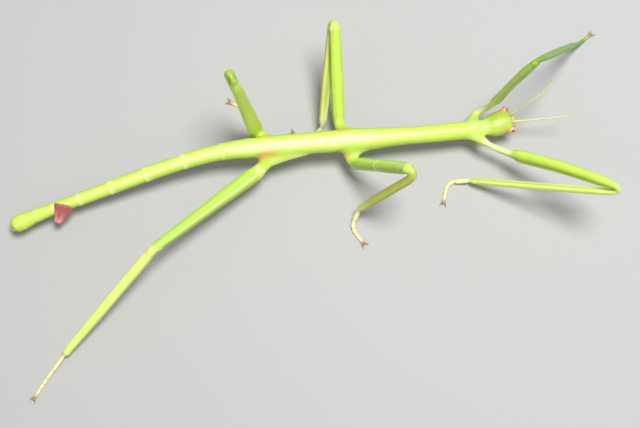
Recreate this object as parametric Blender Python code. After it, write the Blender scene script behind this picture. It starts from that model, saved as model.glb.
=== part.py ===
# A giant stick insect standing still on its six feet, at life size.
# It faces +X, its left side is +Y, and the floor under its feet is z = 0.
# Lengths are in millimetres and angles in degrees until a mesh is made.

import math

import bmesh
import bpy
import numpy as np

millimetre = 0.001
gap = 0.3  # clear space between one piece and the next
step = 0.2  # spacing of the points that the body's axis is summed from

# The body's axis passes this point between the middle pair of coxae.
# Distances along the body are counted from here, forwards.
midCoxae = (11.7, 18.6, 10.6)
thoraxDip = 3.0  # the thorax slopes down towards the head
tailDroop = 4.5  # and the abdomen down towards the tail
slopeTurn = (-30, -20)  # the one slope becomes the other between these places

# Each part of the body from the tail forwards: length, and heading, positive to the left.
tailEnd = -103.4
segments = [
    ("abdomen_10", 3.4, 19.0),
    ("abdomen_9", 4.6, 18.0),
    ("abdomen_8", 5.2, 16.0),
    ("abdomen_7", 8.2, 14.0),
    ("abdomen_6", 10.0, 15.0),
    ("abdomen_5", 11.2, 15.0),
    ("abdomen_4", 12.0, 13.5),
    ("abdomen_3", 11.6, 9.5),
    ("abdomen_2", 12.4, 0.0),
    ("abdomen_1", 5.8, 0.5),
    ("metathorax", 17.2, 0.5),
    ("mesothorax", 38.2, 0.0),
    ("prothorax", 4.6, 3.0),
    ("head", 8.2, 16.0),
]

# Half the body's width at distances along it.
bodyWidths = [
    (-103.4, 2.15), (-101.3, 2.7), (-99.3, 2.5), (-96.0, 2.05), (-91.0, 1.9), (-82.0, 1.87),
    (-72.0, 2.08), (-60.8, 2.23), (-48.8, 2.3), (-37.2, 2.5), (-28.5, 3.04), (-13.0, 3.05),
    (-3.0, 3.3), (1.0, 3.45), (6.0, 3.1), (18.5, 2.55), (32.0, 2.6), (36.0, 2.8),
    (38.0, 2.85), (40.6, 2.4),
]
headWidths = [
    (41.0, 2.3), (41.9, 2.9), (43.3, 3.45), (45.2, 3.65), (47.2, 3.5), (48.6, 2.8), (49.2, 1.5),
]
headHeight = 0.84
bodyHeight = 0.93  # height over width
bodySides = 14
ringStep = 2.6  # spacing of a body piece's rings
rearFlare = 0.05  # each abdominal segment swells at its rear edge
frontNarrowing = 0.04
flareLength = 1.0
flareRings = 0.6  # a flared piece has a further ring this far from each end
headSmoothing = 0.35
creaseAngle = 50
bluntness = 0.12  # the square of a dome's width at its very end

# Where each pair of coxae leaves the body: distance along it, and beside and below its axis.
coxaPlaces = {"fore": 38.0, "mid": 0.0, "hind": -22.8}
coxaBeside = 1.6
coxaBelow = 1.0
coxaLengths = {"fore": 4.5, "mid": 5.2, "hind": 5.7}
coxaOverrun = 1.12  # it runs this far on, into the femur's round end
coxaRadii = {"fore": (1.9, 1.25), "mid": (2.3, 1.7), "hind": (2.3, 1.8)}
femurLengths = {"fore": 43.0, "mid": 31.4, "hind": 38.7}
tibiaLengths = {"fore": 47.0, "mid": 32.2, "hind": 42.5}
tarsusLengths = {"fore": 12.5, "mid": 12.5, "hind": 15.5}

# Each leg's pose: heading and climb of its coxa and femur, heading of its tibia, the height
# of its ankle, and the tarsus's heading and the turn along it.
legPoses = {
    "fore_left": dict(coxa=(75, -20), femur=(4.5, 74), tibia=41, ankle=7.9, tarsus=(37, 0)),
    "fore_right": dict(coxa=(-50, 26), femur=(-33, 29), tibia=163, ankle=2.5, tarsus=(174, 80)),
    "mid_left": dict(coxa=(115, -33), femur=(87, 40), tibia=-105, ankle=5.5, tarsus=(222, -75)),
    "mid_right": dict(coxa=(-76, -22), femur=(-31, 56), tibia=-163, ankle=5.0,
                      tarsus=(-124, 66)),
    "hind_left": dict(coxa=(134, -28), femur=(117, 82.5), tibia=300, ankle=4.1, tarsus=(100, 50)),
    "hind_right": dict(coxa=(-124, -18), femur=(-145.5, 8), tibia=-138, ankle=2.2,
                       tarsus=(-133, 6)),
}
# The fore femora bow near the base, towards the knee's inner side, to pass the head,
# and the right one sways towards the head along its blade.
bowDepths = {"fore_left": 2.4, "fore_right": 3.4}
sways = {"fore_right": 0.6}
bowPlace = 0.2  # the bow is strongest at this share of the femur
kneeRoom = 1.0  # the femur stops this share of its end radius before the knee
kneeRise = (0.9, 1.35)  # where the tibia's curve starts and tops, in the same radii
kneeStart = 0.1
kneeLead = 0.09  # and the share of the tibia by which it has straightened
underneath = 0.8  # how far a folded tibia lies below its femur and not beside it

# Leg sections: share of the length, half-width across the leg's plane, half-depth in it.
femurSections = {
    "fore": [(0, 0.95, 0.95), (0.2, 0.9, 0.85), (0.3, 1.5, 2.0), (0.6, 1.4, 1.75),
             (0.92, 1.3, 1.4), (1, 1.15, 1.2)],
    "mid": [(0, 1.6, 1.6), (0.1, 1.85, 1.7), (0.5, 1.9, 1.65), (0.9, 1.65, 1.5), (1, 1.35, 1.35)],
    "hind": [(0, 2.0, 1.8), (0.08, 2.45, 2.0), (0.5, 1.95, 1.6), (0.92, 1.5, 1.3), (1, 1.35, 1.2)],
}
tibiaSections = {
    "fore": [(0, 0.95, 0.8), (0.1, 0.9, 0.8), (0.4, 1.05, 0.9), (0.9, 0.95, 0.85), (1, 0.8, 0.75)],
    "mid": [(0, 1.15, 1.0), (0.1, 1.25, 1.2), (0.6, 1.4, 1.3), (0.95, 1.1, 1.1), (1, 0.95, 0.9)],
    "hind": [(0, 1.2, 1.15), (0.1, 1.5, 1.4), (0.6, 1.45, 1.35), (0.95, 1.15, 1.1), (1, 1.0, 0.95)],
}
tarsusRadii = {"fore": (0.75, 0.55), "mid": (0.8, 0.55), "hind": (0.65, 0.5)}
tarsomeres = [0.40, 0.18, 0.12, 0.09, 0.21]  # their shares of the tarsus
tarsomereSwell = 0.18  # each one widens towards its far end by this share
tarsusFall = 0.9  # how steeply it sinks
turnFrom = 0.35  # it turns between this share of its length and twice that
soleHeight = 0.34  # height of the tarsus's axis where it lies on the floor
flatFrom = 0.78  # and the share of the tarsus from which it does
ankleLead = 0.2  # the tarsus starts this far past the tibia's end
tarsomereRings = (0.6, 0.012)  # a ring at this share of each joint and one just before its end
tarsusTip = 0.5  # radius of the dome at its tip
tarsusDepth = 0.9  # height over width
limbStops = (0.03, 0.97)  # further rings that round a limb's ends
femurSides = 12
tibiaSides = 10
tarsusSides = 8

clawReach = 1.3
clawSpread = 0.95
clawRadius = 0.27
clawStart = 0.25  # the bar's middle lies this far past the tarsus
clawBend = 0.8  # the power by which it turns forwards
clawHeights = (1.2, 0.7)  # of its middle and its tips, over the sole's height
clawWidths = (1.45, 0.95)  # of the same, over the radius

# The head's small parts: place forward of the body's axis point, to its left, and up.
eyePlace = (48.2, 3.0, 0.5)
eyeSize = (1.45, 1.15, 1.25)
scapePlace = (49.5, 1.2, 0.9)
scapeLength = 1.7
scapeRadius = 0.55
scapeSink = 0.9  # its root lies this deep, inside the cut
antennaLength = 14.5
antennaRadii = (0.3, 0.25)
antennaPoses = {"left": (18, 40, 20), "right": (-4, 16, 3)}  # heading, climb, turn
antennaSag = 8.0
antennaSides = 6
antennaStops = 12
mouthPlace = (49.1, 0.0, -1.55)
mouthSize = (1.55, 1.7, 1.15)
palpPlace = (48.5, 1.5, -2.2)
palpLength = 3.0
palpRadius = 0.3
palpPose = (12, -38)  # outwards and up

# The tail's small parts.
plateReach = (-104.6, -90.8)
plateBelow = 1.9
plateSize = (1.75, 0.85)
plateTurn = (0.16, 0.78)  # the part of a half sine that shapes it
plateBlunt = 0.6
cercusPlace = (-101.6, 1.2, 0.5)
cercusLength = 2.0
cercusRadii = (0.5, 0.3)
cercusPose = (8, -6)  # outwards and up
lobeReach = (-89.0, -82.8)
lobeRoot = (-0.7, 2.0)  # left and up from the body's axis
lobeLength = 4.7
lobeWay = (-0.75, -0.66)
lobeLean = 4.4  # its tip lies this far behind its root
lobeTaper = 0.6
lobeThickness = 0.9
lobeSwell = 0.25  # it is thicker by this share at its tip

colours = {
    "body": (0.46, 0.60, 0.10),
    "head": (0.42, 0.50, 0.10),
    "leg": (0.22, 0.38, 0.08),
    "tarsus": (0.62, 0.58, 0.26),
    "claw": (0.06, 0.04, 0.02),
    "eye": (0.55, 0.42, 0.30),
    "antenna": (0.50, 0.46, 0.16),
    "lobe": (0.55, 0.14, 0.12),
}
roughness = 0.35


def direction(heading, climb):
    h = math.radians(heading)
    c = math.radians(climb)
    return np.array([math.cos(c) * math.cos(h), math.cos(c) * math.sin(h), math.sin(c)])


def unit(v):
    return v / np.maximum(np.linalg.norm(v, axis=-1, keepdims=True), 1e-9)


# The body's axis

def bodyAxis():
    """Places along the body, its points there and its direction, from steps that turn slowly."""
    lengths = np.array([length for _, length, _ in segments])
    ends = tailEnd + np.cumsum(lengths)
    middles = ends - lengths / 2
    places = np.arange(tailEnd, ends[-1] + step / 2, step)
    headings = np.radians(np.interp(places, middles, [heading for _, _, heading in segments]))
    climbs = np.radians(np.interp(places, slopeTurn, [tailDroop, -thoraxDip]))
    forward = np.stack([np.cos(climbs) * np.cos(headings),
                        np.cos(climbs) * np.sin(headings), np.sin(climbs)], 1)
    points = np.cumsum(forward, 0) * step
    points += np.array(midCoxae) - points[np.argmin(abs(places))]
    return places, points, forward


axisPlaces, axisPoints, axisForward = bodyAxis()


def along(place):
    """The axis point, forward, left and up at one place or at many."""
    place = np.asarray(place, float)
    point = np.stack([np.interp(place, axisPlaces, axisPoints[:, k]) for k in range(3)], -1)
    forward = unit(np.stack([np.interp(place, axisPlaces, axisForward[:, k])
                             for k in range(3)], -1))
    beyond = (place - np.clip(place, axisPlaces[0], axisPlaces[-1]))[..., None]
    left = unit(np.cross([0.0, 0.0, 1.0], forward))
    return point + beyond * forward, forward, left, np.cross(forward, left)


def bodyPoint(place, leftward=0.0, upward=0.0):
    point, _, left, up = along(place)
    return point + leftward * left + upward * up


def smoothed(table, place, reach=1.4):
    """A table read at a place, averaged over a short stretch so that it has no corners."""
    at, value = np.array(table).T
    shifts = np.linspace(-reach, reach, 7)
    return np.mean([np.interp(place + shift, at, value) for shift in shifts], 0)


# Rings, tubes and meshes

def tubeRings(points, side, across, deep, sides):
    """Rings round a path: side points across it, and deep is measured square to both."""
    points = np.asarray(points, float)
    tangent = unit(np.gradient(points, axis=0))
    side = unit(np.broadcast_to(side, points.shape))
    side = unit(side - (side * tangent).sum(-1, keepdims=True) * tangent)
    up = np.cross(tangent, side)
    angle = (np.arange(sides) + 0.5) * 2 * math.pi / sides
    return (points[:, None]
            + (side[:, None] * np.cos(angle)[:, None]) * np.reshape(across, (-1, 1, 1))
            + (up[:, None] * np.sin(angle)[:, None]) * np.reshape(deep, (-1, 1, 1)))


def meshFromRings(name, rings, lowest=None):
    """One closed body: the rings joined by quads, with a fan of triangles over each end."""
    if lowest is not None:
        rings = rings.copy()
        rings[..., 2] = np.maximum(rings[..., 2], lowest)
    bm = bmesh.new()
    loops = [[bm.verts.new(point * millimetre) for point in ring] for ring in rings]
    sides = len(loops[0])
    for near, far in zip(loops, loops[1:]):
        for k in range(sides):
            after = (k + 1) % sides
            bm.faces.new((near[k], near[after], far[after], far[k]))
    for loop, ring in ((loops[0], rings[0]), (loops[-1], rings[-1])):
        middle = bm.verts.new(ring.mean(0) * millimetre)
        for k in range(sides):
            bm.faces.new((loop[k], loop[(k + 1) % sides], middle))
    bmesh.ops.recalc_face_normals(bm, faces=bm.faces)
    mesh = bpy.data.meshes.new(name)
    bm.to_mesh(mesh)
    bm.free()
    mesh.shade_smooth()
    mesh.set_sharp_from_angle(angle=math.radians(creaseAngle))
    return mesh


def addPiece(name, mesh, colour=None):
    """A piece with its own material, or a cutter when it has no colour."""
    piece = bpy.data.objects.new(name, mesh)
    bpy.context.scene.collection.objects.link(piece)
    if colour is None:
        piece.hide_render = True
        piece.display_type = "WIRE"
        return piece
    material = bpy.data.materials.new(name)
    material.use_nodes = True
    shader = material.node_tree.nodes["Principled BSDF"]
    shader.inputs["Base Color"].default_value = (*colours[colour], 1)
    shader.inputs["Roughness"].default_value = roughness
    material.diffuse_color = (*colours[colour], 1)
    mesh.materials.append(material)
    return piece


def cut(piece, cutters):
    for cutter in cutters:
        trim = piece.modifiers.new("clear of " + cutter.name, "BOOLEAN")
        trim.operation = "DIFFERENCE"
        trim.solver = "EXACT"
        trim.object = cutter


def ellipsoidRings(centre, forward, left, up, size, sides=10, rings=7):
    """Rings of latitude about the left direction."""
    latitude = np.linspace(-math.pi / 2, math.pi / 2, rings + 2)[1:-1]
    angle = np.arange(sides) * 2 * math.pi / sides
    out = centre + left * size[1] * np.sin(latitude)[:, None, None]
    out = out + forward * size[0] * (np.cos(latitude)[:, None] * np.cos(angle))[..., None]
    return out + up * size[2] * (np.cos(latitude)[:, None] * np.sin(angle))[..., None]


# Head, thorax and abdomen

def trunkRings(rear, front, grow=0.0, flare=0.0):
    """Rings of the body between two places; grow thickens them for a cutter."""
    count = max(4, round((front - rear) / ringStep) + 1)
    places = np.linspace(rear, front, count)
    if flare:
        places = np.sort(np.append(places, (rear + flareRings, front - flareRings)))
    width = smoothed(bodyWidths, places)
    width = width * (1 + flare * np.exp(-(places - rear) / flareLength)
                     - frontNarrowing * (flare > 0) * np.exp(-(front - places) / flareLength))
    points, _, left, _ = along(places)
    return tubeRings(points, left, width + grow, width * bodyHeight + grow, bodySides)


def makeTrunk():
    trunk = {}
    front = tailEnd
    for name, length, _ in segments:
        rear = front
        front = rear + length
        if name == "head":
            rings = headRings()
        else:
            flare = rearFlare if name.startswith("abdomen") else 0.0
            rings = trunkRings(rear + gap / 2, front - gap / 2, flare=flare)
        colour = "head" if name == "head" else "body"
        trunk[name] = addPiece(name, meshFromRings(name, rings), colour)
    return trunk


def headRings(grow=0.0):
    """The head from the neck to its rounded front."""
    rear = headWidths[0][0] + gap / 2
    front = headWidths[-1][0]
    places = rear + (front - rear) * np.sin(np.linspace(0, math.pi / 2, 8))
    width = smoothed(headWidths, places, headSmoothing)
    points, _, left, _ = along(places)
    return tubeRings(points, left, width + grow, width * headHeight + grow, bodySides)


# Legs

def sectionAt(table, share):
    at, across, deep = np.array(table, float).T
    return np.interp(share, at, across), np.interp(share, at, deep)


def roundedEnds(share, length, radius, start=True, end=True):
    """A factor that closes a tube in a dome at its ends."""
    factor = np.ones_like(share)
    for wanted, distance in ((start, share * length), (end, (1 - share) * length)):
        if wanted:
            inside = np.clip(1 - distance / radius, 0, 1)
            factor *= np.sqrt(np.maximum(1 - inside ** 2, bluntness))
    return factor


def tarsusRoute(ankle, length, heading, turn, count):
    """The tarsus sinks from the ankle and lies along the floor, turning past its first third."""
    share = np.linspace(0, 1, count + 1)
    drop = ankle[2] - soleHeight
    power = min(2.0, tarsusFall * flatFrom * length / drop)
    height = soleHeight + drop * np.clip(1 - share / flatFrom, 0, 1) ** power
    run = np.sqrt(np.maximum((length / count) ** 2 - np.diff(height) ** 2, 0))
    middle = (share[1:] + share[:-1]) / 2
    angle = np.radians(heading + turn * np.clip(middle / turnFrom - 1, 0, 1))
    x = ankle[0] + np.append(0, np.cumsum(run * np.cos(angle)))
    y = ankle[1] + np.append(0, np.cumsum(run * np.sin(angle)))
    return np.stack([x, y, height], 1)


def legRoutes(leg):
    """Where a leg's coxa, femur, tibia and tarsus run, and the normal of its plane."""
    pair, side = leg.split("_")
    pose = legPoses[leg]
    outward = 1 if side == "left" else -1
    base = bodyPoint(coxaPlaces[pair], outward * coxaBeside) - np.array([0, 0, coxaBelow])
    hip = base + coxaLengths[pair] * direction(*pose["coxa"])
    femurWay = direction(*pose["femur"])
    knee = hip + femurLengths[pair] * femurWay
    drop = math.degrees(math.asin((knee[2] - pose["ankle"]) / tibiaLengths[pair]))
    tibiaWay = direction(pose["tibia"], -drop)
    ankle = knee + tibiaLengths[pair] * tibiaWay

    # A folded tibia lies beside the femur, so its line starts off the knee on that side.
    lean = tibiaWay - np.array([0, 0, underneath])
    toSide = unit(lean - (lean @ femurWay) * femurWay)
    folded = max(0.0, -(tibiaWay @ femurWay)) ** 2
    femurEnd = femurSections[pair][-1][2]
    tibiaStart = tibiaSections[pair][1][2]
    beside = folded * (femurSections[pair][-2][2] + tibiaStart + gap)
    normal = unit(np.cross(femurWay, toSide))

    share = np.linspace(0, 1, 9)
    left = unit(np.cross([0, 0, 1.0], femurWay))
    bow = -bowDepths.get(leg, 0.0) * np.cross(femurWay, left)
    bend = (share / bowPlace) * np.exp(1 - share / bowPlace)
    femurTip = knee - kneeRoom * femurEnd * femurWay
    femur = hip + share[:, None] * (femurTip - hip) + bend[:, None] * bow
    femur = femur + sways.get(leg, 0.0) * np.sin(math.pi * share)[:, None] * left

    # Over the knee the tibia follows a curve with three handles, then runs straight.
    handles = [femurTip + kneeRise[0] * femurEnd * femurWay + kneeStart * beside * toSide,
               femurTip + kneeRise[1] * femurEnd * femurWay + beside * toSide,
               knee + beside * toSide + kneeLead * (ankle - knee)]
    t = np.linspace(0, 1, 6)[:, None]
    over = (1 - t) ** 2 * handles[0] + 2 * t * (1 - t) * handles[1] + t ** 2 * handles[2]
    t = np.linspace(0, 1, 6)[1:, None]
    tibia = np.concatenate([over, handles[2] + t * (ankle - handles[2])])

    away = direction(pose["tarsus"][0], 0)
    start = ankle + ankleLead * away
    tarsus = tarsusRoute(start, tarsusLengths[pair], *pose["tarsus"], 3 * len(tarsomeres))
    return base, hip, femur, tibia, tarsus, normal


def routeShare(route):
    length = np.append(0, np.cumsum(np.linalg.norm(np.diff(route, axis=0), axis=1)))
    return length / length[-1], length[-1]


def coxaRings(base, hip, radii, grow=0.0):
    share = np.linspace(0, 1, 6)
    route = base + share[:, None] * (hip - base) * coxaOverrun
    radius = np.interp(share, [0, 1], radii)
    radius = radius * roundedEnds(share, np.linalg.norm(hip - base), radii[1], start=False)
    side = np.cross([0, 0, 1.0], hip - base)
    return tubeRings(route, side, radius + grow, radius + grow, femurSides)


def limbRings(route, table, normal, sides, grow=0.0, domes=(True, True)):
    share, length = routeShare(route)
    stops = np.unique(np.concatenate([share, limbStops]))
    route = np.stack([np.interp(stops, share, route[:, k]) for k in range(3)], 1)
    across, deep = sectionAt(table, stops)
    dome = roundedEnds(stops, length, deep[-1], *domes)
    return tubeRings(route, normal, across * dome + grow, deep * dome + grow, sides)


def tarsusRings(route, radii, grow=0.0):
    """Five short joints, each swelling towards its far end."""
    ends = np.cumsum(tarsomeres)
    starts = ends - tarsomeres
    stops = np.sort(np.concatenate([starts, starts + tarsomereRings[0] * np.array(tarsomeres),
                                    ends - tarsomereRings[1]]))
    share, length = routeShare(route)
    points = np.stack([np.interp(stops, share, route[:, k]) for k in range(3)], 1)
    which = np.minimum(np.searchsorted(ends, stops, side="right"), len(ends) - 1)
    within = (stops - starts[which]) / np.array(tarsomeres)[which]
    radius = np.interp(stops, [0, 1], radii) * (1 - tarsomereSwell + tarsomereSwell * within)
    radius = radius * roundedEnds(stops, length, tarsusTip)
    tangent = unit(np.gradient(points, axis=0))
    side = np.cross([0, 0, 1.0], tangent)
    return tubeRings(points, side, radius + grow, radius * tarsusDepth + grow, tarsusSides)


def clawRings(route, heading):
    """Both claws and the pad between them, as one bar bent forwards like an anchor's arms."""
    tip = route[-1]
    forward = direction(heading, 0)
    left = np.cross([0, 0, 1.0], forward)
    angle = np.linspace(-1, 1, 9)
    bar = (tip + forward * (clawStart + clawReach * angle[:, None] ** 2)
           + left * clawSpread * np.sign(angle)[:, None] * np.abs(angle[:, None]) ** clawBend)
    bar[:, 2] = soleHeight * np.interp(angle ** 2, [0, 1], clawHeights)
    radius = clawRadius * np.interp(np.abs(angle), [0, 1], clawWidths)
    return tubeRings(bar, [0, 0, 1.0], radius, radius, 6)


def makeLeg(leg, bodyCutter, headCutter):
    pair, _ = leg.split("_")
    base, hip, femur, tibia, tarsus, normal = legRoutes(leg)
    shapes = {
        "coxa": coxaRings(base, hip, coxaRadii[pair]),
        "femur": limbRings(femur, femurSections[pair], normal, femurSides),
        "tibia": limbRings(tibia, tibiaSections[pair], normal, tibiaSides),
        "tarsus": tarsusRings(tarsus, tarsusRadii[pair]),
    }
    cutters = {
        "coxa": coxaRings(base, hip, coxaRadii[pair], gap),
        "femur": limbRings(femur, femurSections[pair], normal, femurSides, gap),
        "tibia": limbRings(tibia, tibiaSections[pair], normal, tibiaSides, gap),
        "tarsus": tarsusRings(tarsus, tarsusRadii[pair], gap),
    }
    before = bodyCutter
    for kind, rings in shapes.items():
        name = f"{kind}_{leg}"
        low = 0.0 if kind == "tarsus" else None
        piece = addPiece(name, meshFromRings(name, rings, low),
                      "tarsus" if kind == "tarsus" else "leg")
        cut(piece, [before, headCutter] if name.startswith("femur_fore") else [before])
        before = addPiece("clear_" + name, meshFromRings("clear_" + name, cutters[kind]))
    last = tarsus[-1] - tarsus[-2]
    heading = math.degrees(math.atan2(last[1], last[0]))
    claws = addPiece("claws_" + leg, meshFromRings("claws_" + leg, clawRings(tarsus, heading), 0.0),
                  "claw")
    cut(claws, [before])


# Eyes, feelers and mouth

def straightTube(start, way, length, radii, sides=8, count=5, turn=0.0, sag=0.0):
    """A thin tube from a start; it turns and sinks evenly on its way."""
    heading, climb = way
    share = np.linspace(0, 1, count)
    steps = [direction(heading + turn * s, climb - sag * s) for s in share]
    route = start + np.concatenate([[np.zeros(3)], np.cumsum(steps[:-1], 0)]) * length / (count - 1)
    radius = np.interp(share, [0, 1], radii) * roundedEnds(share, length, radii[1], start=False)
    side = np.cross([0, 0, 1.0], direction(heading, 0))
    return tubeRings(route, side, radius, radius, sides), route


def makeHeadParts(headCutter):
    _, forward, left, up = along(eyePlace[0])
    facing = math.degrees(math.atan2(forward[1], forward[0]))
    clear = [headCutter]
    mouth = ellipsoidRings(bodyPoint(*mouthPlace), forward, left, up, mouthSize)
    mouthpiece = addPiece("mouthparts", meshFromRings("mouthparts", mouth), "head")
    cut(mouthpiece, clear)
    fat = tuple(size + gap for size in mouthSize)
    mouthCutter = addPiece("clear_mouthparts", meshFromRings(
        "clear_mouthparts", ellipsoidRings(bodyPoint(*mouthPlace), forward, left, up, fat)))
    for side, sign in (("left", 1), ("right", -1)):
        centre = bodyPoint(eyePlace[0], sign * eyePlace[1], eyePlace[2])
        rings = ellipsoidRings(centre, forward, left, up, eyeSize)
        cut(addPiece("eye_" + side, meshFromRings("eye_" + side, rings), "eye"), clear)

        heading, climb, turn = antennaPoses[side]
        socket = bodyPoint(scapePlace[0], sign * scapePlace[1], scapePlace[2])
        socket = socket - scapeSink * direction(heading, climb)
        rings, route = straightTube(socket, (heading, climb), scapeLength + scapeSink,
                                    (scapeRadius, scapeRadius))
        scape = addPiece("antenna_base_" + side, meshFromRings("antenna_base_" + side, rings),
                      "antenna")
        cut(scape, clear)
        rings, _ = straightTube(route[-1] + gap * direction(heading, climb), (heading, climb),
                                antennaLength, antennaRadii, antennaSides, antennaStops,
                                turn, antennaSag)
        addPiece("antenna_" + side, meshFromRings("antenna_" + side, rings), "antenna")

        start = bodyPoint(palpPlace[0], sign * palpPlace[1], palpPlace[2])
        rings, _ = straightTube(start, (facing + sign * palpPose[0], palpPose[1]), palpLength,
                                (palpRadius, palpRadius), 6)
        palp = addPiece("palp_" + side, meshFromRings("palp_" + side, rings), "antenna")
        cut(palp, clear + [mouthCutter])


# Tail

def makeTail(bodyCutter):
    share = np.linspace(0, 1, 8)
    places = plateReach[0] + share * (plateReach[1] - plateReach[0])
    points, _, left, up = along(places)
    dome = np.sin(math.pi * (plateTurn[0] + plateTurn[1] * share)) ** plateBlunt
    rings = tubeRings(points - plateBelow * up, left, plateSize[0] * dome, plateSize[1] * dome, 10)
    plate = addPiece("subgenital_plate", meshFromRings("subgenital_plate", rings), "body")
    cut(plate, [bodyCutter])

    for side, sign in (("left", 1), ("right", -1)):
        start = bodyPoint(cercusPlace[0], sign * cercusPlace[1], cercusPlace[2])
        _, forward, _, _ = along(cercusPlace[0])
        back = math.degrees(math.atan2(-forward[1], -forward[0]))
        way = (back - sign * cercusPose[0], cercusPose[1])
        rings, _ = straightTube(start, way, cercusLength, cercusRadii)
        cut(addPiece("cercus_" + side, meshFromRings("cercus_" + side, rings), "body"), [bodyCutter])


def makeLobe(bodyCutter):
    """A three-cornered flap that lies over the right flank of the seventh segment."""
    share = np.linspace(0, 1, 6)
    middle = sum(lobeReach) / 2
    half = (lobeReach[1] - lobeReach[0]) / 2
    _, forward, left, up = along(middle)
    way = unit(lobeWay[0] * left + lobeWay[1] * up)
    reach = half * (1 - lobeTaper * share)
    route = bodyPoint(middle, *lobeRoot) + way * (share * lobeLength)[:, None]
    route = route - forward * (lobeLean * share)[:, None]
    thick = lobeThickness / 2 * (1 + lobeSwell * share)
    rings = tubeRings(route, forward, reach, thick, 10)
    cut(addPiece("ventral_lobe", meshFromRings("ventral_lobe", rings), "lobe"), [bodyCutter])


def build():
    for old in list(bpy.data.objects):
        bpy.data.objects.remove(old)
    makeTrunk()
    whole = trunkRings(tailEnd, headWidths[0][0], gap)
    bodyCutter = addPiece("clear_body", meshFromRings("clear_body", whole))
    headCutter = addPiece("clear_head", meshFromRings("clear_head", headRings(gap)))
    for leg in legPoses:
        makeLeg(leg, bodyCutter, headCutter)
    makeHeadParts(headCutter)
    makeTail(bodyCutter)
    makeLobe(bodyCutter)


build()
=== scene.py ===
import math

import bpy
import numpy as np
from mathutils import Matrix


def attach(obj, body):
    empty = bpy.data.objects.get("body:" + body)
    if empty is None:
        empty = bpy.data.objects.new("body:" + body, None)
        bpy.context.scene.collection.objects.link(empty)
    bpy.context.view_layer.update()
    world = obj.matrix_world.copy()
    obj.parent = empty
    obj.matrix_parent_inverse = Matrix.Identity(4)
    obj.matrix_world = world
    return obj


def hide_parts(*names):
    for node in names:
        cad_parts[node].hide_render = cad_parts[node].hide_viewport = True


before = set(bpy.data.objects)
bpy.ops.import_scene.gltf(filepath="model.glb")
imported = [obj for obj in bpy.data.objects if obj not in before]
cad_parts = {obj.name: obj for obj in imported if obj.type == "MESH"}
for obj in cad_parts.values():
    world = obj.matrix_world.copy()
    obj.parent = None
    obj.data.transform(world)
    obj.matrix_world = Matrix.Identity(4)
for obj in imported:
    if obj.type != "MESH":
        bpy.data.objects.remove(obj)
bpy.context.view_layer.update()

# A giant stick insect standing on its six feet. It faces +X and its left side is +Y.
# Shapes are worked out in millimetres and degrees, and become metres in the mesh.
# The body's line and the legs' poses repeat the frame's own sizes.

millimetre = 0.001
zenith = np.array([0, 0, 1.0])
signs = {"left": 1, "right": -1}

bodyPlan = {
    "midCoxae": (11.7, 18.6, 10.6),  # the axis between the middle coxae, where places count from
    "thoraxDip": 3.0,
    "tailDroop": 4.5,
    "slopeTurn": (-30, -20),  # the places between which the droop becomes the dip
    "tailEnd": -103.4,
    # each part from the tail forwards: length and heading
    "parts": [(3.4, 19.0), (4.6, 18.0), (5.2, 16.0), (8.2, 14.0), (10.0, 15.0), (11.2, 15.0),
              (12.0, 13.5), (11.6, 9.5), (12.4, 0.0), (5.8, 0.5), (17.2, 0.5), (38.2, 0.0),
              (4.6, 3.0), (8.2, 16.0)],
    # half the width at places along the body
    "widths": [(-103.4, 2.15), (-101.3, 2.7), (-99.3, 2.5), (-96.0, 2.05), (-91.0, 1.9),
               (-82.0, 1.87), (-72.0, 2.08), (-60.8, 2.23), (-48.8, 2.3), (-37.2, 2.5),
               (-28.5, 3.04), (-13.0, 3.05), (-3.0, 3.3), (1.0, 3.45), (6.0, 3.1), (18.5, 2.55),
               (32.0, 2.6), (36.0, 2.8), (38.0, 2.85), (40.6, 2.4)],
    "headWidths": [(40.2, 2.0), (41.0, 2.25), (41.9, 2.9), (43.3, 3.45), (45.2, 3.65),
                   (47.2, 3.5), (48.6, 2.8), (49.2, 1.6)],
}

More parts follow.
